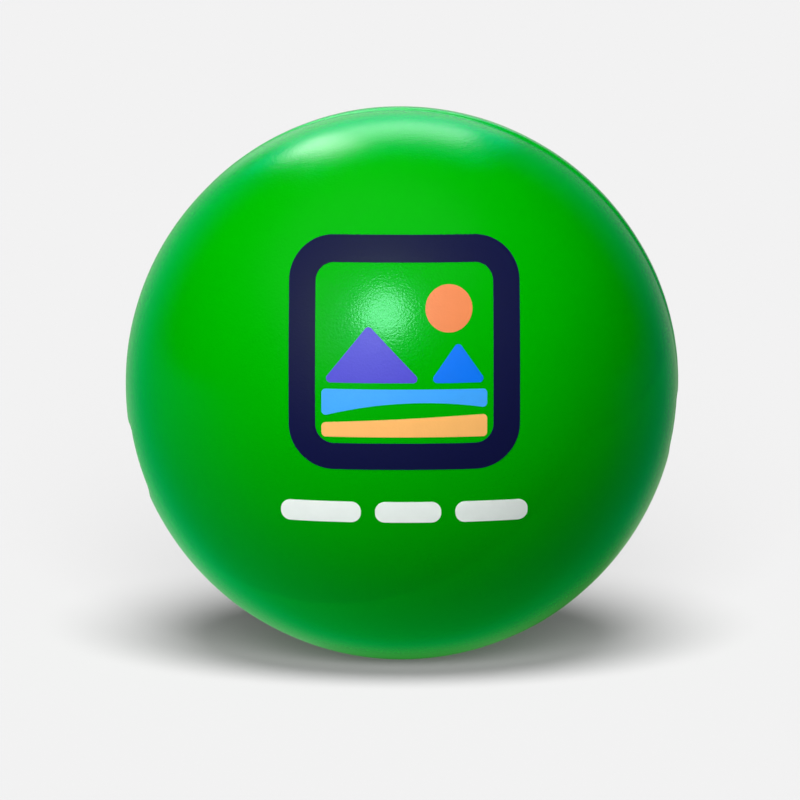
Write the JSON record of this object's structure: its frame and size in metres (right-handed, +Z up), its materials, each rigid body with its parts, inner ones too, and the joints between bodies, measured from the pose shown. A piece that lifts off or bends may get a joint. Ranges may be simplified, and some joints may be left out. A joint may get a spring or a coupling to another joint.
{
  "type": "stress ball",
  "caption": "Soft round foam stress ball with a moulded skin, a coloured coat in two halves and a flat multi-colour print on the front, for squeezing in the hand.",
  "frame": {"origin": "centre of the small flat that the soft ball makes where it rests, at the bottom centre of its box", "axes": "+Z up, -Y out through the printed front, +X to the right of someone looking at the print"},
  "size_m": [0.07, 0.0701, 0.0696],
  "materials": {
    "foam": "open cell polyurethane foam",
    "skin": "dense self skinned foam",
    "green_coat": "satin, fine orange peel",
    "navy_ink": "satin pad print ink",
    "violet_ink": "satin pad print ink",
    "blue_ink": "satin pad print ink",
    "sky_ink": "satin pad print ink",
    "peach_ink": "satin pad print ink",
    "orange_ink": "satin pad print ink",
    "white_ink": "satin pad print ink"
  },
  "bodies": {
    "front_half": {"coat_front": "green_coat", "integral_skin": "skin", "foam_core": "foam", "print_frame": "navy_ink", "print_high_peak": "violet_ink", "print_low_peak": "blue_ink", "print_hill": "sky_ink", "print_shore": "peach_ink", "print_sun": "orange_ink", "print_caption": "white_ink"},
    "rear_half": {"coat_rear": "green_coat"}
  },
  "joints": [
    {"name": "squeeze", "type": "slide", "parent": "front_half", "child": "rear_half", "axis": [0, -1, 0], "range_m": [0, 0.025], "stiffness_N_per_m": 1500, "deforming": ["foam_core", "integral_skin", "coat_front"]}
  ]
}
